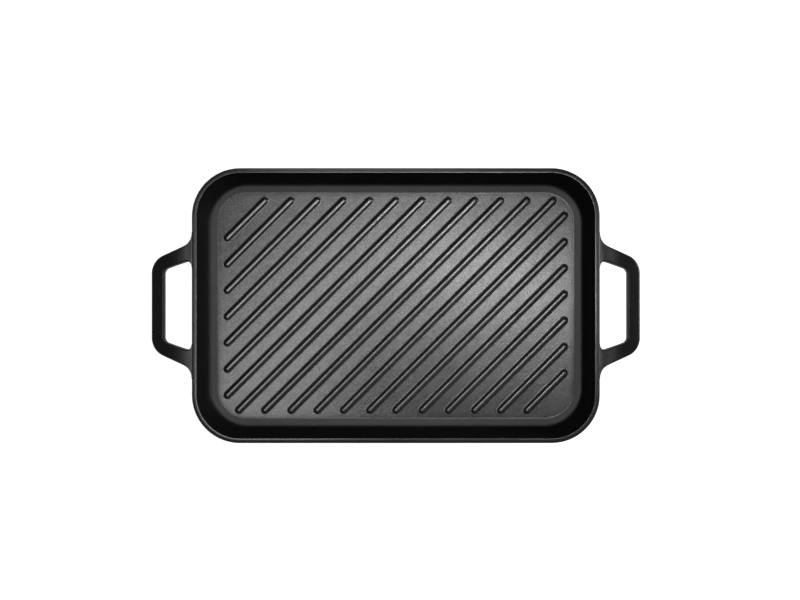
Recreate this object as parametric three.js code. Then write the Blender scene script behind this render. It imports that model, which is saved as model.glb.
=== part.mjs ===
// Ribbed rectangular griddle with a loop handle at each short end.
// Millimetres, +Z up. The origin is at the middle of the flat base.
// +X runs from the left handle to the right one, +Y to the back long side.

import * as THREE from 'three';

// ---------------------------------------------------------------- dimensions

// rim, seen from above
const RIM_LENGTH = 392.7;        // along X, over the rim
const RIM_WIDTH = 264.8;         // along Y, over the rim
const RIM_CORNER_R = 46.5;
const RIM_OUT_R = 1.3;           // round of the rim's outer edge
const RIM_IN_R = 0.4;            // round of its inner edge
const HEIGHT = 38;               // base to rim

// wall: both faces lean outwards by the same draft
const WALL_TAN = 0.263;          // tangent of the draft, about 14.7 degrees
const WALL_W = 5.2;              // thickness of the wall along X or Y
const BASE_EDGE_R = 6;           // round between the wall and the flat base
const BASE_CORNER_R = 44;        // corner of the wall, just above that round

// inside: cove, then a plain band that slopes down to the floor
const COVE_R = 4.6;
const COVE_CORNER_R = 39.7;      // corner of the wall at the top of the cove
const BAND_CORNER_R = 36.3;      // corner of the band at the bottom of the cove
const BAND_TAN = 0.125;          // slope of the band
const FLOOR_INSET = 21.8;        // edge of the floor, in from the rim's outline
const FLOOR_Z = 6.5;             // thickness of the cooking floor
const FLOOR_CORNER_R = 28.5;

// ridges: 45 degree lines, cut off by a rectangle
const RIB_COUNT = 19;
const RIB_SPACING_X = 25.7;      // distance between ridges along X
const RIB_END_X = 165.1;         // middle of the round ends lies within this box
const RIB_END_Y = 102.6;
const RIB_H = 3.0;
const RIB_PROFILE = [            // half-width, height above the floor
  [4.4, 0.0],
  [3.2, 0.7],
  [1.85, 2.72],
  [1.3, 2.9],
  [0.4, RIB_H],
];

// handles: seen from above, the right one
const HANDLE_OUT_X = 236.2;      // outer face of the bar
const HANDLE_OUT_Y = 43.4;       // where bar and arm would meet outside
const HANDLE_OUT_R = 19;
const ARM_OUT_SLOPE = 0.44;      // spread of the arm's outer edge
const ROOT_OUT_R = 14;
const HANDLE_IN_X = 223.1;       // inner face of the bar, at its foot
const HANDLE_IN_Y = 34.6;
const HANDLE_IN_R = 6;
const ARM_IN_SLOPE = 0.36;
const ROOT_IN_R = 6.2;
const HANDLE_TOP_Z = 37.2;       // top of the root, just below the rim
const HANDLE_DROOP = 7;          // how far the top falls from root to bar
const HANDLE_T_ROOT = 14;        // thickness at the wall
const HANDLE_T_BAR = 10.5;       // thickness of the bar
const HANDLE_TOP_R = 1.4;        // rounds of its section
const HANDLE_LOW_IN_R = 1.5;
const HANDLE_LOW_OUT_R = 3;
const HANDLE_SLANT_ROOT = 0.6;   // lean of the flank at the finger gap
const HANDLE_SLANT_BAR = 0.8;
const HANDLE_GAP = 0.05;         // clear of the wall, face to face

// ----------------------------------------------------------------- materials

const iron = (color, roughness) =>
  new THREE.MeshStandardMaterial({ color, roughness, metalness: 0.35 });

// --------------------------------------------------------------------- lofts

// Closed skin through rings that all have the same number of points. Each ring
// runs anticlockwise seen against the direction of the loft, and the first and
// last rings are capped.
function loft(rings, capFirst, capLast) {
  const n = rings[0].length;
  const position = [];
  for (const ring of rings) for (const p of ring) position.push(p[0], p[1], p[2]);
  const index = [];
  for (let i = 0; i + 1 < rings.length; i++) {
    for (let j = 0; j < n; j++) {
      const a = i * n + j;
      const b = i * n + ((j + 1) % n);
      index.push(a, b, a + n, b, b + n, a + n);
    }
  }
  const last = (rings.length - 1) * n;
  for (const [a, b, c] of THREE.ShapeUtils.triangulateShape(capFirst, [])) index.push(a, c, b);
  for (const [a, b, c] of THREE.ShapeUtils.triangulateShape(capLast, [])) {
    index.push(last + a, last + b, last + c);
  }
  const g = new THREE.BufferGeometry();
  g.setAttribute('position', new THREE.Float32BufferAttribute(position, 3));
  g.setIndex(index);
  g.computeVertexNormals();
  return g;
}

const flat = (ring) => ring.map((p) => new THREE.Vector2(p[0], p[1]));

// points of a quarter-turn or other arc, both ends included
function arc(cx, cy, r, from, to, steps) {
  return new THREE.EllipseCurve(cx, cy, r, r, from, to, to < from).getPoints(steps);
}

// ------------------------------------------------------------------ pan body

const CORNER_STEPS = 8;

// rounded rectangle, inset from the rim's outline, at one height
function panRing(inset, r, z) {
  const a = RIM_LENGTH / 2 - inset - r;
  const b = RIM_WIDTH / 2 - inset - r;
  const q = Math.PI / 2;
  return [[a, -b, -q], [a, b, 0], [-a, b, q], [-a, -b, 2 * q]].flatMap(([x, y, t]) =>
    arc(x, y, r, t, t + q, CORNER_STEPS).map((p) => [p.x, p.y, z]));
}

// Insets of the two leaning faces. The rim's outline, at inset 0, is where the
// round of its outer edge stands out furthest.
const draft = Math.atan(WALL_TAN);
const RIM_OVER = RIM_OUT_R * (WALL_TAN + 1 / Math.cos(draft) - 1);
const outerInset = (z) => (HEIGHT - z) * WALL_TAN - RIM_OVER;
const innerInset = (z) => outerInset(z) + WALL_W;

// round at corner b of the line a-b-c in the wall's section
function round(a, b, c, r, steps) {
  const u = a.clone().sub(b).normalize();
  const v = c.clone().sub(b).normalize();
  const half = Math.acos(u.dot(v)) / 2;
  const m = u.clone().add(v).normalize().multiplyScalar(r / Math.sin(half)).add(b);
  const from = u.multiplyScalar(r / Math.tan(half)).add(b).sub(m).angle();
  const to = v.multiplyScalar(r / Math.tan(half)).add(b).sub(m).angle();
  let turn = to - from;
  if (turn > Math.PI) turn -= 2 * Math.PI;
  if (turn < -Math.PI) turn += 2 * Math.PI;
  return arc(m.x, m.y, r, from, from + turn, steps);
}

function panBody() {
  // the wall's section as a broken line of insets and heights
  const at = (inset, z) => new THREE.Vector2(inset, z);
  const coveZ = (FLOOR_Z + BAND_TAN * (FLOOR_INSET - innerInset(0))) / (1 - BAND_TAN * WALL_TAN);
  const base = at(outerInset(0), 0);
  const rimOut = at(outerInset(HEIGHT), HEIGHT);
  const rimIn = at(innerInset(HEIGHT), HEIGHT);
  const cove = at(innerInset(coveZ), coveZ);
  const floor = at(FLOOR_INSET, FLOOR_Z);

  const baseRound = round(at(60, 0), base, rimOut, BASE_EDGE_R, 4);
  const outRound = round(base, rimOut, rimIn, RIM_OUT_R, 3);
  const inRound = round(rimOut, rimIn, cove, RIM_IN_R, 2);
  const coveRound = round(rimIn, cove, floor, COVE_R, 4);

  const foot = baseRound[baseRound.length - 1].x;
  const top = coveRound[0].x;
  const run = coveRound[coveRound.length - 1].x - top;
  const rings = [
    ...baseRound.map((p, i) => panRing(p.x, BASE_CORNER_R - (p.x - foot), i ? p.y : 0)),
    ...outRound.map((p) => panRing(p.x, RIM_CORNER_R - p.x, p.y)),
    ...inRound.map((p) => panRing(p.x, RIM_CORNER_R - p.x, p.y)),
    ...coveRound.map((p) => panRing(p.x,
      COVE_CORNER_R + (BAND_CORNER_R - COVE_CORNER_R) * (p.x - top) / run, p.y)),
    panRing(floor.x, FLOOR_CORNER_R, floor.y),
  ];
  return loft(rings, flat(rings[0]), flat(rings[rings.length - 1]));
}

// -------------------------------------------------------------------- ridges

const RIB_END_STEPS = 6;

// one straight ridge along its own X, its foot at z = 0
function rib(length) {
  const rings = RIB_PROFILE.map(([r, z]) => [
    ...arc(length / 2, 0, r, -Math.PI / 2, Math.PI / 2, RIB_END_STEPS),
    ...arc(-length / 2, 0, r, Math.PI / 2, 1.5 * Math.PI, RIB_END_STEPS),
  ].map((p) => [p.x, p.y, z]));
  return loft(rings, flat(rings[0]), flat(rings[rings.length - 1]));
}

// the 45 degree line x - y = c, cut off by the end box
function ribEnds(c) {
  const x0 = Math.max(-RIB_END_X, -RIB_END_Y + c);
  const x1 = Math.min(RIB_END_X, RIB_END_Y + c);
  return [new THREE.Vector2(x0, x0 - c), new THREE.Vector2(x1, x1 - c)];
}

// ------------------------------------------------------------------- handles

// the plane of the wall's outer face at the root, at mid-height of the handle
const ROOT_Z = HANDLE_TOP_Z - HANDLE_T_ROOT / 2;
const ROOT_X = RIM_LENGTH / 2 - outerInset(ROOT_Z) + HANDLE_GAP;

// One half of a handle's edge seen from above, from the root to the middle of
// the bar: round at the root, straight arm, round corner, straight bar.
function handleEdge(barX, cornerY, slope, cornerR, rootR, outward) {
  const lean = Math.atan(slope);
  const ux = Math.cos(lean);
  const uy = -Math.sin(lean);
  const rootY = cornerY + slope * (barX - ROOT_X);
  // root fillet, touching the wall line and the arm
  const turn = outward ? Math.PI / 2 + lean : Math.PI / 2 - lean;
  const tan = rootR / Math.tan(turn / 2);
  const cx = ROOT_X + rootR;
  const cy = outward ? rootY + tan : rootY - tan;
  const root = outward
    ? arc(cx, cy, rootR, Math.PI, 1.5 * Math.PI - lean, 5)
    : arc(cx, cy, rootR, Math.PI, Math.PI / 2 - lean, 5);
  // corner between arm and bar
  const sweep = Math.PI / 2 - lean;
  const back = cornerR * Math.tan(sweep / 2);
  const kx = barX - cornerR;
  const ky = cornerY - back;
  const corner = arc(kx, ky, cornerR, Math.PI / 2 - lean, 0, 6);
  const a = root[root.length - 1];
  const b = corner[0];
  const arm = [a.clone().lerp(b, 0.5)];
  return [...root, ...arm, ...corner, new THREE.Vector2(barX, ky * 0.5), new THREE.Vector2(barX, 0)];
}

// rounded section: half-width w along the line between the two edges, half-height h;
// the flank at the finger gap leans in towards its foot by the slant
const SECTION_STEPS = 3;
function section(w, h, slant) {
  const corners = [[w, h], [slant - w, h], [-w, -h], [w - 0.5, -h]].map(([x, y]) => new THREE.Vector2(x, y));
  const radii = [HANDLE_TOP_R, HANDLE_TOP_R, HANDLE_LOW_IN_R, HANDLE_LOW_OUT_R];
  return corners.flatMap((c, i) =>
    round(corners[(i + 3) % 4], c, corners[(i + 1) % 4], radii[i], SECTION_STEPS));
}

function handle() {
  const outHalf = handleEdge(HANDLE_OUT_X, HANDLE_OUT_Y, ARM_OUT_SLOPE, HANDLE_OUT_R, ROOT_OUT_R, true);
  const inHalf = handleEdge(HANDLE_IN_X, HANDLE_IN_Y, ARM_IN_SLOPE, HANDLE_IN_R, ROOT_IN_R, false);
  const mirror = (half) => [
    ...half,
    ...half.slice(0, -1).reverse().map((p) => new THREE.Vector2(p.x, -p.y)),
  ];
  const outer = mirror(outHalf);
  const inner = mirror(inHalf);
  const reach = HANDLE_OUT_X - ROOT_X;
  const rings = outer.map((o, i) => {
    const k = inner[i];
    const mid = o.clone().add(k).multiplyScalar(0.5);
    const across = o.clone().sub(k);
    const w = across.length() / 2;
    across.normalize();
    const h = between(mid.x, HANDLE_T_ROOT, HANDLE_T_BAR) / 2;
    const slant = between(mid.x, HANDLE_SLANT_ROOT, HANDLE_SLANT_BAR);
    return section(w, h, slant).map((p) => {
      const x = mid.x + across.x * p.x;
      const y = mid.y + across.y * p.x;
      const s = Math.max(0, (x - ROOT_X) / reach);
      const z = HANDLE_TOP_Z - HANDLE_DROOP * s * s - h + p.y;
      // close to the wall the section leans with it
      const lean = Math.max(0, 1 - (x - ROOT_X) / 12);
      return [x + (z - ROOT_Z) * WALL_TAN * lean, y, z];
    });
  });
  const cap = (ring) => ring.map((p) => new THREE.Vector2(p[1], p[2]));
  const first = cap(rings[0]);
  const last = cap(rings[rings.length - 1]).map((p) => new THREE.Vector2(-p.x, p.y));
  return loft(rings, first, last);
}

// from one value at the root to another at the bar
function between(x, root, bar) {
  const s = Math.min(1, Math.max(0, (x - ROOT_X) / (HANDLE_IN_X - ROOT_X)));
  return root + (bar - root) * s;
}

// ------------------------------------------------------------------ assembly

const griddle = new THREE.Group();
griddle.name = 'griddle';

const body = new THREE.Mesh(panBody(), iron(0x2a2a2b, 0.55));
body.name = 'pan_body';
griddle.add(body);

const right = new THREE.Mesh(handle(), iron(0x1b1b1c, 0.5));
right.name = 'right_handle';
griddle.add(right);

const left = new THREE.Mesh(handle(), iron(0x1b1b1c, 0.5));
left.name = 'left_handle';
left.rotation.z = Math.PI;
griddle.add(left);

const ribs = new THREE.Group();
ribs.position.z = FLOOR_Z;
for (let i = 0; i < RIB_COUNT; i++) {
  const [p, q] = ribEnds((i - (RIB_COUNT - 1) / 2) * RIB_SPACING_X);
  const mesh = new THREE.Mesh(rib(p.distanceTo(q)), iron(0x2e2e2f, 0.55));
  mesh.name = `rib_${String(i + 1).padStart(2, '0')}`;
  mesh.position.set((p.x + q.x) / 2, (p.y + q.y) / 2, 0);
  mesh.rotation.z = Math.PI / 4;
  ribs.add(mesh);
}
griddle.add(ribs);

export default griddle;
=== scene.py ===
import math

import bpy
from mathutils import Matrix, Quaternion, Vector


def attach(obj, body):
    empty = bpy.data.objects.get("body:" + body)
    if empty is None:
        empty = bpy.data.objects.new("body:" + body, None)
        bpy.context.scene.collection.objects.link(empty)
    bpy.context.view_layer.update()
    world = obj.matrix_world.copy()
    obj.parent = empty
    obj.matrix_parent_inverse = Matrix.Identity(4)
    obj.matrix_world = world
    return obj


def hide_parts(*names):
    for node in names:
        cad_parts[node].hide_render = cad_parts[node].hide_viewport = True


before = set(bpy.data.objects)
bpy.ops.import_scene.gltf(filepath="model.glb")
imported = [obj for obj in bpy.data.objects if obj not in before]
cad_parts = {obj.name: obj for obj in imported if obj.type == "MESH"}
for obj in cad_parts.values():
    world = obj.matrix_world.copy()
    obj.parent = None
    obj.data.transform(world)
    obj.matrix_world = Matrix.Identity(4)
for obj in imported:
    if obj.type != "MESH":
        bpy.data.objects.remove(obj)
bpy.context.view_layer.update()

MM = 0.001
scene = bpy.context.scene

# ---------------------------------------------------------------------------
# dimensions in millimetres, the same as the CAD part's

RIM_LENGTH, RIM_WIDTH, RIM_CORNER_R = 392.7, 264.8, 46.5
RIM_OUT_R, RIM_IN_R, HEIGHT = 1.3, 0.4, 38.0
WALL_TAN, WALL_W = 0.263, 5.2
BASE_EDGE_R, BASE_CORNER_R = 6.0, 44.0
COVE_R, COVE_CORNER_R, BAND_CORNER_R, BAND_TAN = 4.6, 39.7, 36.3, 0.125
FLOOR_INSET, FLOOR_Z, FLOOR_CORNER_R = 21.8, 6.5, 28.5

RIB_COUNT, RIB_SPACING_X = 19, 25.7
RIB_END_X, RIB_END_Y, RIB_H = 165.1, 102.6, 3.0

HANDLE_OUT_X, HANDLE_OUT_Y, HANDLE_OUT_R = 236.2, 43.4, 19.0
ARM_OUT_SLOPE, ROOT_OUT_R = 0.44, 14.0
HANDLE_IN_X, HANDLE_IN_Y, HANDLE_IN_R = 223.1, 34.6, 6.0
ARM_IN_SLOPE, ROOT_IN_R = 0.36, 6.2
HANDLE_TOP_Z, HANDLE_DROOP = 37.2, 7.0
HANDLE_T_ROOT, HANDLE_T_BAR = 14.0, 10.5
HANDLE_TOP_R, HANDLE_LOW_IN_R, HANDLE_LOW_OUT_R = 1.4, 1.5, 3.0
HANDLE_SLANT_ROOT, HANDLE_SLANT_BAR = 0.6, 0.8

DRAFT = math.atan(WALL_TAN)
RIM_OVER = RIM_OUT_R * (WALL_TAN + 1 / math.cos(DRAFT) - 1)


def outer_inset(z):
    return (HEIGHT - z) * WALL_TAN - RIM_OVER


def inner_inset(z):
    return outer_inset(z) + WALL_W


# ---------------------------------------------------------------------------
# node materials


class Tree:
    """Small helper that adds and links shader nodes."""

    def __init__(self, name):
        self.mat = bpy.data.materials.new(name)
        self.mat.use_nodes = True
        self.nodes = self.mat.node_tree.nodes
        self.links = self.mat.node_tree.links
        self.shader = self.nodes["Principled BSDF"]
        self.at = self.node("ShaderNodeTexCoord").outputs["Object"]

    def node(self, kind, **props):
        n = self.nodes.new(kind)
        for key, value in props.items():
            setattr(n, key, value)
        return n

    def feed(self, socket, value):
        if isinstance(value, bpy.types.NodeSocket):
            self.links.new(value, socket)
        else:
            socket.default_value = value

    def noise(self, scale, detail=3.0, rough=0.55, at=None):
        n = self.node("ShaderNodeTexNoise")
        self.feed(n.inputs["Vector"], at or self.at)
        n.inputs["Scale"].default_value = scale
        n.inputs["Detail"].default_value = detail
        n.inputs["Roughness"].default_value = rough
        return n.outputs["Fac"]

    def cells(self, scale):
        n = self.node("ShaderNodeTexVoronoi", feature="SMOOTH_F1")
        self.feed(n.inputs["Vector"], self.at)
        n.inputs["Scale"].default_value = scale
        n.inputs["Smoothness"].default_value = 0.6
        return n.outputs["Distance"]

    def math(self, op, a, b=0.0, clamp=False):
        n = self.node("ShaderNodeMath", operation=op, use_clamp=clamp)
        self.feed(n.inputs[0], a)
        self.feed(n.inputs[1], b)
        return n.outputs[0]

    def span(self, value, lo, hi, to_lo=0.0, to_hi=1.0, smooth=True):
        n = self.node("ShaderNodeMapRange", interpolation_type="SMOOTHSTEP" if smooth else "LINEAR")
        self.feed(n.inputs["Value"], value)
        n.inputs["From Min"].default_value = lo
        n.inputs["From Max"].default_value = hi
        n.inputs["To Min"].default_value = to_lo
        n.inputs["To Max"].default_value = to_hi
        return n.outputs["Result"]

    def mix(self, fac, a, b):
        n = self.node("ShaderNodeMix", data_type="RGBA")
        self.feed(n.inputs[0], fac)
        self.feed(n.inputs[6], a)
        self.feed(n.inputs[7], b)
        return n.outputs[2]

    def axis(self, letter):
        n = self.node("ShaderNodeSeparateXYZ")
        self.feed(n.inputs[0], self.at)
        return n.outputs[letter]

    def outline(self, length, width, r):
        """Signed distance to a rounded rectangle about the origin, seen from above;
        negative inside, as far in as the corner radius."""
        over = [self.math("MAXIMUM", self.math("SUBTRACT", self.math("ABSOLUTE", self.axis(k)), size / 2 - r), 0.0)
                for k, size in (("X", length), ("Y", width))]
        square = [self.math("MULTIPLY", v, v) for v in over]
        return self.math("SUBTRACT", self.math("SQRT", self.math("ADD", *square)), r)

    def mark(self, name):
        return self.node("ShaderNodeAttribute", attribute_name=name).outputs["Fac"]

    def bump(self, height, strength, distance):
        n = self.node("ShaderNodeBump")
        self.feed(n.inputs["Strength"], strength)
        n.inputs["Distance"].default_value = distance
        self.feed(n.inputs["Height"], height)
        self.feed(self.shader.inputs["Normal"], n.outputs["Normal"])


def grey(v):
    return (v, v, v * 1.012, 1.0)


def iron(name, dark, light, rough, metal, shine, grain, mottle=(0.45, 0.30, 0.25),
         worn=None, worn_at=None, foot=None, edge_shade=None):
    """Cast iron: cloudy tone, speckle, granular relief, worn edges and, on the floor, painted shade at its edge.

    grain is (size in mm, strength, depth in mm). mottle weighs clouds, blotches and
    speckle. worn is (tone, roughness, amount); worn_at gives the heights in mm between
    which the wear sets in, or names a mark on the mesh. foot is (dark, light, roughness,
    strength, heights in mm) of the ground that the piece grows out of. edge_shade is the
    (tone factor near the floor's edge, tone factor at it, roughness): painted shade that
    darkens the floor towards its edge, where it meets the cove, with a rougher finish there.
    """
    t = Tree(name)
    cloud = t.noise(16.0, 4.0, 0.6)
    blotch = t.noise(120.0, 4.0, 0.6)
    size, strength, depth = grain
    fine = t.noise(1000.0 / size, 1.5, 0.5)
    pits = t.cells(620.0 / size)

    tone = t.math("ADD", t.math("MULTIPLY", cloud, mottle[0]), t.math("MULTIPLY", blotch, mottle[1]))
    tone = t.math("ADD", tone, t.math("MULTIPLY", fine, mottle[2]))
    tone = t.span(tone, 0.34, 0.66)
    colour = t.mix(tone, grey(dark), grey(light))
    gloss = t.math("ADD", t.math("MULTIPLY", cloud, 0.4), t.math("MULTIPLY", fine, 0.6))
    gloss = t.span(gloss, 0.3, 0.7, rough - 0.03, rough + 0.03)

    if foot:
        f_dark, f_light, f_rough, f_strength, rise = foot
        up = t.span(t.axis("Z"), rise[0] * MM, rise[1] * MM)
        colour = t.mix(up, t.mix(tone, grey(f_dark), grey(f_light)), colour)
        gloss = t.math("ADD", gloss, t.span(up, 0.0, 1.0, f_rough - rough, 0.0, smooth=False))
        strength = t.span(up, 0.0, 1.0, f_strength, strength, smooth=False)

    # painted shade: the floor's tone darkens towards its edge, where it meets the cove, and the edge is rougher
    if edge_shade:
        b_tone, b_last, b_rough = edge_shade
        inside = t.outline((RIM_LENGTH - 2 * FLOOR_INSET) * MM, (RIM_WIDTH - 2 * FLOOR_INSET) * MM, FLOOR_CORNER_R * MM)
        near = t.span(inside, -7.0 * MM, 0.8 * MM)
        last = t.span(inside, -3.0 * MM, 0.6 * MM)
        colour = t.mix(near, colour, t.mix(tone, grey(dark * b_tone), grey(light * b_tone)))
        colour = t.mix(last, colour, t.mix(tone, grey(dark * b_last), grey(light * b_last)))
        gloss = t.math("ADD", gloss, t.math("MULTIPLY", near, b_rough - rough))

    if worn:
        w_tone, w_rough, amount = worn
        if isinstance(worn_at, str):
            edge = t.mark(worn_at)
        else:
            edge = t.span(t.axis("Z"), worn_at[0] * MM, worn_at[1] * MM)
        patch = t.span(t.math("ADD", t.math("MULTIPLY", blotch, 0.6), t.math("MULTIPLY", cloud, 0.4)), 0.36, 0.64)
        wear = t.math("MULTIPLY", edge, t.span(patch, 0.0, 1.0, amount * 0.55, amount))
        colour = t.mix(wear, colour, grey(w_tone))
        drop = t.math("MULTIPLY", wear, rough - w_rough)
        gloss = t.math("SUBTRACT", gloss, drop, clamp=True)

    relief = t.math("ADD", t.math("MULTIPLY", fine, 0.7), t.math("MULTIPLY", pits, 0.5))
    t.bump(relief, strength, depth * MM)
    t.feed(t.shader.inputs["Base Color"], colour)
    t.feed(t.shader.inputs["Roughness"], gloss)
    t.shader.inputs["Metallic"].default_value = metal
    t.shader.inputs["Specular IOR Level"].default_value = shine
    return t.mat


SPECKLED = (0.15, 0.20, 0.65)
# the floor's iron, with painted shade darkening it towards its edge
cooking = iron("iron_floor", 0.035, 0.073, 0.225, 1.0, 0.5, (1.35, 0.92, 0.03), SPECKLED,
               edge_shade=(0.80, 0.42, 0.235))
# painted light: the ridges' iron is lighter and less metallic than the floor's, so that their shaded flanks read
# brighter; the foot takes the floor's tones and the worn crest is real wear
ridge = iron("iron_ridge_painted_light", 0.048, 0.088, 0.225, 0.6, 0.75, (1.35, 0.5, 0.03), SPECKLED,
             worn=(0.105, 0.20, 0.8), worn_at=(9.2, 9.45),
             foot=(0.035, 0.073, 0.225, 0.92, (6.54, 7.2)))
# painted shade: the inner walls and the upper cove take a near-black, dull copy of the iron, darker than the outer
# wall's
wall = iron("iron_wall_painted_shade", 0.004, 0.007, 0.50, 0.0, 0.10, (0.9, 1.0, 0.03))
band = iron("iron_band", 0.012, 0.018, 0.43, 0.15, 0.42, (0.9, 1.0, 0.03))
trim = iron("iron_rim", 0.010, 0.016, 0.215, 0.1, 0.42, (0.9, 1.0, 0.008),
            worn=(0.030, 0.19, 0.6), worn_at=(37.72, 37.96))
under = iron("iron_base", 0.030, 0.046, 0.45, 0.1, 0.45, (1.2, 1.0, 0.06))
grip = iron("iron_handle", 0.004, 0.007, 0.23, 0.0, 0.39, (0.9, 1.0, 0.01),
            worn=(0.022, 0.22, 0.7), worn_at="edge")
flank = iron("iron_flank", 0.006, 0.010, 0.55, 0.0, 0.08, (0.9, 1.0, 0.02))

# ---------------------------------------------------------------------------
# meshes


def turn_points(cx, cy, r, start, end, steps):
    return [(cx + r * math.cos(start + (end - start) * i / steps),
             cy + r * math.sin(start + (end - start) * i / steps)) for i in range(steps + 1)]


def rounded(a, b, c, r, steps):
    """Round at corner b of the line a-b-c, both ends included."""
    a, b, c = Vector(a), Vector(b), Vector(c)
    u, v = (a - b).normalized(), (c - b).normalized()
    half = math.acos(max(-1.0, min(1.0, u.dot(v)))) / 2
    m = b + (u + v).normalized() * (r / math.sin(half))
    p = b + u * (r / math.tan(half)) - m
    q = b + v * (r / math.tan(half)) - m
    start, end = math.atan2(p.y, p.x), math.atan2(q.y, q.x)
    sweep = (end - start + math.pi) % (2 * math.pi) - math.pi
    return turn_points(m.x, m.y, r, start, start + sweep, steps)


def between(a, b, n):
    """n points strictly between a and b."""
    return [tuple(p + (q - p) * (i + 1) / (n + 1) for p, q in zip(a, b)) for i in range(n)]


def loft(name, rings, materials, bands=None):
    """Closed skin through rings of equal length, capped at both ends. bands[i] is the
    material of the faces between rings i and i+1; the caps take the first and last."""
    n = len(rings[0])
    verts = [tuple(c * MM for c in p) for ring in rings for p in ring]
    faces, index = [], []
    bands = bands or [0] * (len(rings) - 1)
    for i in range(len(rings) - 1):
        for j in range(n):
            a, b = i * n + j, i * n + (j + 1) % n
            faces.append((a, b, b + n, a + n))
            index.append(bands[i])
    faces.append(tuple(reversed(range(n))))
    index.append(bands[0])
    last = (len(rings) - 1) * n
    faces.append(tuple(range(last, last + n)))
    index.append(bands[-1])
    mesh = bpy.data.meshes.new(name)
    mesh.from_pydata(verts, [], faces)
    for m in materials:
        mesh.materials.append(m)
    mesh.polygons.foreach_set("material_index", index)
    mesh.polygons.foreach_set("use_smooth", [True] * len(faces))
    mesh.update()
    ob = bpy.data.objects.new(name, mesh)
    scene.collection.objects.link(ob)
    return ob


def settle(ob, node):
    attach(ob, "root")
    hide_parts(node)


# --- pan: one closed tray, from the middle of the base round to the floor

CORNER_STEPS = 24
RIM_FALL = 0.25


def pan_ring(inset, r, z):
    a, b = RIM_LENGTH / 2 - inset - r, RIM_WIDTH / 2 - inset - r
    q = math.pi / 2
    corners = [turn_points(x, y, r, t, t + q, CORNER_STEPS)
               for x, y, t in ((a, -b, -q), (a, b, 0.0), (-a, b, q), (-a, -b, 2 * q))]
    ring = []
    for i, arc in enumerate(corners):
        ring += arc
        ring += between(arc[-1], corners[(i + 1) % 4][0], 12 if i % 2 else 8)
    return [(x, y, z) for x, y in ring]


def pan_body():
    cove_z = (FLOOR_Z + BAND_TAN * (FLOOR_INSET - inner_inset(0))) / (1 - BAND_TAN * WALL_TAN)
    base, rim_out = (outer_inset(0), 0.0), (outer_inset(HEIGHT), HEIGHT)
    rim_in, cove = (inner_inset(HEIGHT), HEIGHT), (inner_inset(cove_z), cove_z)
    floor = (FLOOR_INSET, FLOOR_Z)
    # the rim falls a little from its crest to the outer edge
    rim_low = (outer_inset(HEIGHT - RIM_FALL), HEIGHT - RIM_FALL)
    crest = (rim_in[0] - 1.6, HEIGHT)
    base_round = rounded((60, 0), base, rim_out, BASE_EDGE_R, 9)
    out_round = rounded(base, rim_low, crest, RIM_OUT_R, 8)
    out_round += rounded(rim_low, crest, rim_in, 6.0, 3)
    in_round = rounded(rim_out, rim_in, cove, RIM_IN_R, 6)
    cove_round = rounded(rim_in, cove, floor, COVE_R, 16)
    edge_round = rounded(cove, floor, (60, FLOOR_Z), 22.0, 6)

    foot = base_round[-1][0]
    rows = []  # inset, corner radius, height, material

    def row(inset, r, z, m):
        rows.append((inset, r, z, m))

    def wall_rows(n, m):
        """n rows on the straight wall before the row added last."""
        q = rows.pop()
        p = rows[-1]
        for c in between(p[:3], q[:3], n):
            row(*c, m)
        rows.append(q)

    under_edge = base_round[0][0]
    for extra in (12.0, 4.0, 1.2):
        row(under_edge + extra, BASE_CORNER_R - (under_edge + extra - foot), 0.0, 0)
    for x, z in base_round:
        row(x, BASE_CORNER_R - (x - foot), max(0.0, z), 4)
    for i, (x, z) in enumerate(out_round):
        row(x, RIM_CORNER_R - x, z, 1)
        if i == 0:
            wall_rows(5, 4)
    # from here down, the inner wall and the upper cove take the iron painted with shade (material 3)
    for i, (x, z) in enumerate(in_round):
        row(x, RIM_CORNER_R - x, z, 1 if i < 2 else 3)
    top, run = cove_round[0][0], cove_round[-1][0] - cove_round[0][0]
    for i, (x, z) in enumerate(cove_round):
        row(x, COVE_CORNER_R + (BAND_CORNER_R - COVE_CORNER_R) * (x - top) / run, z, 3 if i < 10 else 4)
        if i == 0:
            wall_rows(5, 3)
    step = (FLOOR_CORNER_R - BAND_CORNER_R) / (FLOOR_INSET - cove_round[-1][0])
    for i, (x, z) in enumerate(edge_round):
        row(x, BAND_CORNER_R + step * (x - cove_round[-1][0]), z, 2 if i >= 2 else 4)
        if i == 0:
            wall_rows(2, 4)
    end = edge_round[-1][0]
    corner = BAND_CORNER_R + step * (end - cove_round[-1][0])
    for extra in (0.8, 2.0, 6.0):
        row(end + extra, corner - extra, FLOOR_Z, 2)
    rings = [pan_ring(x, r, z) for x, r, z, _ in rows]
    return loft("pan_body_look", rings, [under, trim, cooking, wall, band], [m for *_, m in rows[:-1]])


settle(pan_body(), "pan_body")

# --- ridges: round-ended, on a wide hollow fillet, with a domed crest


def ridge_side(steep, arcs):
    """Widths and heights of one side, from the foot to the crest. The side is walked from
    the crest down: arcs of (radius, slope at the start, slope at the end, steps), with a
    straight flank at the steepest slope."""
    fall = sum(abs(math.cos(math.radians(a)) - math.cos(math.radians(b))) * r for r, a, b, _ in arcs)
    flank = (RIB_H - fall) / math.tan(math.radians(steep))
    w, z = 0.0, RIB_H
    pts = [(0.06, RIB_H)]
    for r, a, b, steps in arcs:
        for i in range(1, steps + 1):
            s, e = (math.radians(a + (b - a) * k / steps) for k in (i - 1, i))
            w += r * abs(math.sin(e) - math.sin(s))
            z -= r * abs(math.cos(s) - math.cos(e))
            pts.append((w, z))
        if b == steep:
            w, z = w + flank, z - (RIB_H - fall)
            pts.append((w, z))
    pts.append((w + 0.3, -0.3))
    return pts[::-1]


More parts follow.
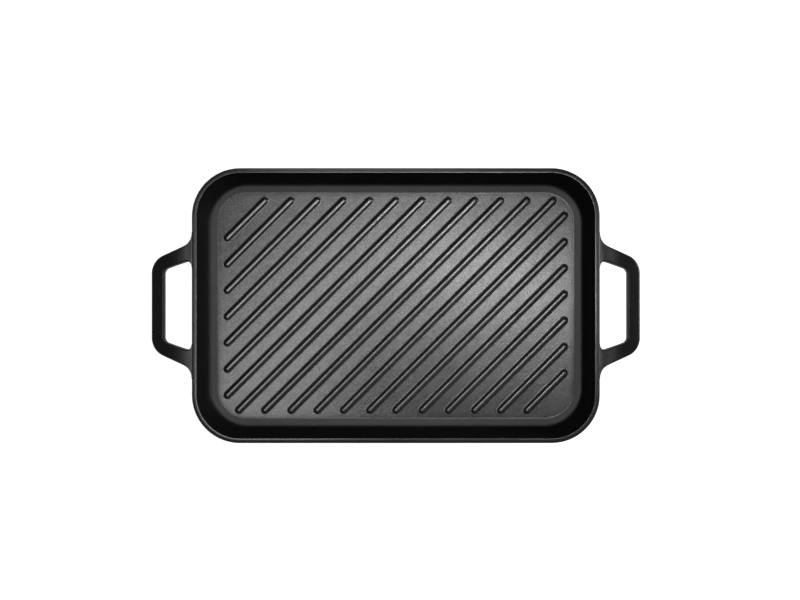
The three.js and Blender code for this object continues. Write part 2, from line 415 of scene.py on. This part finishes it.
# the crest leans a little: its front side is broad and drops off steeply, its back side
# rounds over into a gentler flank
RIB_FRONT = ridge_side(72, [(11.0, 0, 9, 5), (0.7, 9, 72, 8), (1.0, 72, 30, 6), (1.5, 30, 8, 6), (6.5, 8, 0, 4)])
RIB_BACK = ridge_side(54, [(4.0, 0, 12, 5), (0.9, 12, 54, 8), (1.4, 54, 30, 6), (1.8, 30, 8, 6), (5.0, 8, 0, 4)])
RIB_SHIFT = 0.25  # of the crest's line, towards the back


def rib(number):
    c = (number - (RIB_COUNT + 1) / 2) * RIB_SPACING_X
    x0, x1 = max(-RIB_END_X, -RIB_END_Y + c), min(RIB_END_X, RIB_END_Y + c)
    p, q = Vector((x0, x0 - c)), Vector((x1, x1 - c))
    along = (q - p).normalized()
    side = Vector((-along.y, along.x))
    steps = max(3, round((q - p).length / 14))
    rings = []
    for front, back in zip(RIB_FRONT, RIB_BACK):
        ring = []
        for end, out in ((q, 1), (p, -1)):
            for i in range(15):
                turn = math.pi * (i / 14 - 0.5)
                share = (1 + out * math.sin(turn)) / 2
                w, z = (f + (b - f) * share for f, b in zip(front, back))
                v = end + side * RIB_SHIFT + (along * math.cos(turn) + side * math.sin(turn)) * (w * out)
                ring.append((v.x, v.y, FLOOR_Z - 0.004 + z))
        first, second = ring[:15], ring[15:]
        ring = first + between(first[-1], second[0], steps) + second + between(second[-1], first[0], steps)
        rings.append(ring)
    return loft(f"rib_{number:02d}_look", rings, [ridge])


for k in range(1, RIB_COUNT + 1):
    settle(rib(k), f"rib_{k:02d}")

# --- handles: drooping loops that run into the wall with fillets

ROOT_Z = HANDLE_TOP_Z - HANDLE_T_ROOT / 2
ROOT_X = RIM_LENGTH / 2 - outer_inset(ROOT_Z)
ROOT_FILLET = 2.4
TOP_LIFT = 0.3
FLANK_COLUMNS = range(14, 28)  # of the section: the flank at the finger gap


def handle_edge(bar_x, corner_y, slope, corner_r, root_r, outward):
    """Half of a handle's edge seen from above, from the wall to the middle of the bar."""
    lean = math.atan(slope)
    root_y = corner_y + slope * (bar_x - ROOT_X)
    turn = math.pi / 2 + lean if outward else math.pi / 2 - lean
    tan = root_r / math.tan(turn / 2)
    cx, cy = ROOT_X + root_r, root_y + tan if outward else root_y - tan
    end = 1.5 * math.pi - lean if outward else math.pi / 2 - lean
    root = turn_points(cx, cy, root_r, math.pi, end, 16)
    back = corner_r * math.tan((math.pi / 2 - lean) / 2)
    corner = turn_points(bar_x - corner_r, corner_y - back, corner_r, math.pi / 2 - lean, 0.0, 16)
    bar = [(bar_x, (corner_y - back) * (1 - i / 5)) for i in range(1, 6)]
    return root + between(root[-1], corner[0], 6) + corner + bar


def section(w, h, slant):
    """Flat-topped section, anticlockwise: half-width w from the finger gap outwards,
    half-height h. The flank at the gap leans in by the slant. Each point carries
    its mark as a worn edge."""
    corners = [(w, h), (slant - w, h), (-w, -h), (w - 0.5, -h)]
    radii = [HANDLE_TOP_R, HANDLE_TOP_R, HANDLE_LOW_IN_R, HANDLE_LOW_OUT_R]
    pts = []
    for i, r in enumerate(radii):
        arc = rounded(corners[i - 1], corners[i], corners[(i + 1) % 4], r, 8)
        pts += [(x, y, (1.0 if i < 2 else 0.4) * math.sin(math.pi * k / 8)) for k, (x, y) in enumerate(arc)]
        follow = rounded(corners[i], corners[(i + 1) % 4], corners[(i + 2) % 4], radii[(i + 1) % 4], 8)[0]
        gap = (Vector(follow) - Vector(arc[-1])).length
        near = min(0.35, 0.25 * gap) / gap
        for f in (near, 0.5, 1 - near):
            pts.append((arc[-1][0] + (follow[0] - arc[-1][0]) * f, arc[-1][1] + (follow[1] - arc[-1][1]) * f, 0.0))
    return pts


def handle(name, flip):
    outer = handle_edge(HANDLE_OUT_X, HANDLE_OUT_Y, ARM_OUT_SLOPE, HANDLE_OUT_R, ROOT_OUT_R, True)
    inner = handle_edge(HANDLE_IN_X, HANDLE_IN_Y, ARM_IN_SLOPE, HANDLE_IN_R, ROOT_IN_R, False)
    outer += [(x, -y) for x, y in reversed(outer[:-1])]
    inner += [(x, -y) for x, y in reversed(inner[:-1])]
    reach = HANDLE_OUT_X - ROOT_X
    rings, marks = [], []
    for o, k in zip(outer, inner):
        o, k = Vector(o), Vector(k)
        mid, across = (o + k) / 2, (o - k).normalized()
        w = (o - k).length / 2
        s = min(1.0, max(0.0, (mid.x - ROOT_X) / (HANDLE_IN_X - ROOT_X)))
        h = (HANDLE_T_ROOT + (HANDLE_T_BAR - HANDLE_T_ROOT) * s) / 2
        slant = HANDLE_SLANT_ROOT + (HANDLE_SLANT_BAR - HANDLE_SLANT_ROOT) * s
        ring = []
        for px, py, mark in section(w, h, slant):
            marks.append(mark)
            x, y = mid.x + across.x * px, mid.y + across.y * px
            u = max(0.0, x - ROOT_X)
            fillet = 0.0
            if u < ROOT_FILLET:
                fillet = ROOT_FILLET - math.sqrt(ROOT_FILLET ** 2 - (ROOT_FILLET - u) ** 2)
            z = HANDLE_TOP_Z - HANDLE_DROOP * (u / reach) ** 2 - h + py
            z += TOP_LIFT if py > 0 else fillet * max(-1.0, py / h)
            lean = max(0.0, 1 - u / 12)
            ring.append((x + (z - ROOT_Z) * WALL_TAN * lean, y, z))
        rings.append(ring)
    sunk = [[(x - 1.2, y, z) for x, y, z in ring] for ring in (rings[0], rings[-1])]
    rings = [sunk[0]] + rings + [sunk[1]]
    marks = [0.0] * len(sunk[0]) + marks + [0.0] * len(sunk[1])
    if flip:
        rings = [[(-x, -y, z) for x, y, z in ring] for ring in rings]
    ob = loft(name, rings, [grip, flank])
    n = len(rings[0])
    for i in range(len(rings) - 1):
        for j in FLANK_COLUMNS:
            ob.data.polygons[i * n + j].material_index = 1
    ob.data.attributes.new("edge", "FLOAT", "POINT").data.foreach_set("value", marks)
    return ob


settle(handle("right_handle_look", False), "right_handle")
settle(handle("left_handle_look", True), "left_handle")

# ---------------------------------------------------------------------------
# studio: pale floor, soft lights, camera straight above

floor_mesh = bpy.data.meshes.new("studio_floor")
side = 4.0
floor_mesh.from_pydata([(-side, -side, 0), (side, -side, 0), (side, side, 0), (-side, side, 0)], [], [(0, 1, 2, 3)])
studio_floor = bpy.data.objects.new("studio_floor", floor_mesh)
studio_floor.location.z = -0.0003
scene.collection.objects.link(studio_floor)
paper = Tree("studio_paper")
paper.shader.inputs["Base Color"].default_value = (0.80, 0.80, 0.80, 1.0)
paper.shader.inputs["Roughness"].default_value = 0.9
paper.shader.inputs["Specular IOR Level"].default_value = 0.1
paper.shader.inputs["Emission Color"].default_value = (1.0, 1.0, 1.0, 1.0)
paper.shader.inputs["Emission Strength"].default_value = 0.86
# the paper is one-sided, so that the underside can be looked at
one_side = paper.node("ShaderNodeMixShader")
paper.feed(one_side.inputs[0], paper.node("ShaderNodeNewGeometry").outputs["Backfacing"])
paper.feed(one_side.inputs[1], paper.shader.outputs[0])
paper.feed(one_side.inputs[2], paper.node("ShaderNodeBsdfTransparent").outputs[0])
paper.feed(paper.nodes["Material Output"].inputs["Surface"], one_side.outputs[0])
floor_mesh.materials.append(paper.mat)


def lamp(name, spot, aim, size, watts, roll=0.0):
    data = bpy.data.lights.new(name, "AREA")
    data.shape = "RECTANGLE"
    data.size, data.size_y = size
    data.energy = watts
    ob = bpy.data.objects.new(name, data)
    ob.location = spot
    ob.rotation_mode = "QUATERNION"
    ob.rotation_quaternion = (Vector(aim) - Vector(spot)).to_track_quat("-Z", "Y")
    ob.rotation_quaternion = ob.rotation_quaternion @ Quaternion((0, 0, 1), math.radians(roll))
    scene.collection.objects.link(ob)
    return ob


lamp("key", (0.226, 0.057, 1.90), (0.226, 0.057, 0.0), (0.395, 0.10), 3.8, roll=-21)
lamp("wide", (-0.219, -0.047, 1.90), (-0.219, -0.047, 0.0), (0.62, 0.26), 4.0, roll=60)
lamp("fill_left", (-0.68, 0.04, 1.90), (-0.68, 0.04, 0.0), (0.22, 0.50), 1.1)
lamp("fill_back", (-0.08, 0.74, 1.90), (-0.08, 0.74, 0.0), (0.50, 0.25), 1.6)
lamp("fill_right", (0.86, 0.02, 1.90), (0.86, 0.02, 0.0), (0.16, 0.40), 0.85)
lamp("fill_front", (1.15, -1.05, 1.60), (0.0, 0.0, 0.0), (0.40, 0.40), 0.7)
lamp("side", (1.485, 0.209, 0.45), (0.0, 0.0, 0.0), (0.50, 0.40), 13.0)

# weak light from all round, stronger half-way up the walls of the room; the backdrop
# itself is as pale as the floor
world = bpy.data.worlds.new("studio_air")
scene.world = world
world.use_nodes = True
air = world.node_tree.nodes["Background"]
air.inputs["Color"].default_value = (1.0, 1.0, 1.0, 1.0)


def world_span(value, lo, hi, to_lo, to_hi):
    n = world.node_tree.nodes.new("ShaderNodeMapRange")
    n.interpolation_type = "SMOOTHSTEP"
    world.node_tree.links.new(value, n.inputs["Value"])
    for key, v in (("From Min", lo), ("From Max", hi), ("To Min", to_lo), ("To Max", to_hi)):
        if isinstance(v, bpy.types.NodeSocket):
            world.node_tree.links.new(v, n.inputs[key])
        else:
            n.inputs[key].default_value = v
    return n.outputs["Result"]


toward = world.node_tree.nodes.new("ShaderNodeSeparateXYZ")
world.node_tree.links.new(world.node_tree.nodes.new("ShaderNodeTexCoord").outputs["Generated"], toward.inputs[0])
seen = world.node_tree.nodes.new("ShaderNodeLightPath")
lower = world_span(toward.outputs["Z"], 0.10, 0.38, 0.10, 0.38)
upper = world_span(toward.outputs["Z"], 0.45, 0.75, lower, 0.12)
level = world_span(seen.outputs["Is Camera Ray"], 0.0, 1.0, upper, 0.94)
world.node_tree.links.new(level, air.inputs["Strength"])

scene.view_settings.view_transform = "Standard"
scene.view_settings.look = "None"

camera_data = bpy.data.cameras.new("camera")
camera_data.sensor_width = 36.0
camera_data.lens = 1560.35 * 36.0 / 800.0
camera_data.clip_start, camera_data.clip_end = 0.05, 20.0
camera = bpy.data.objects.new("camera", camera_data)
camera.location = (0.0040, 0.0054, 1.538)
camera.rotation_euler = (0.0, 0.0, 0.0)
scene.collection.objects.link(camera)
scene.camera = camera
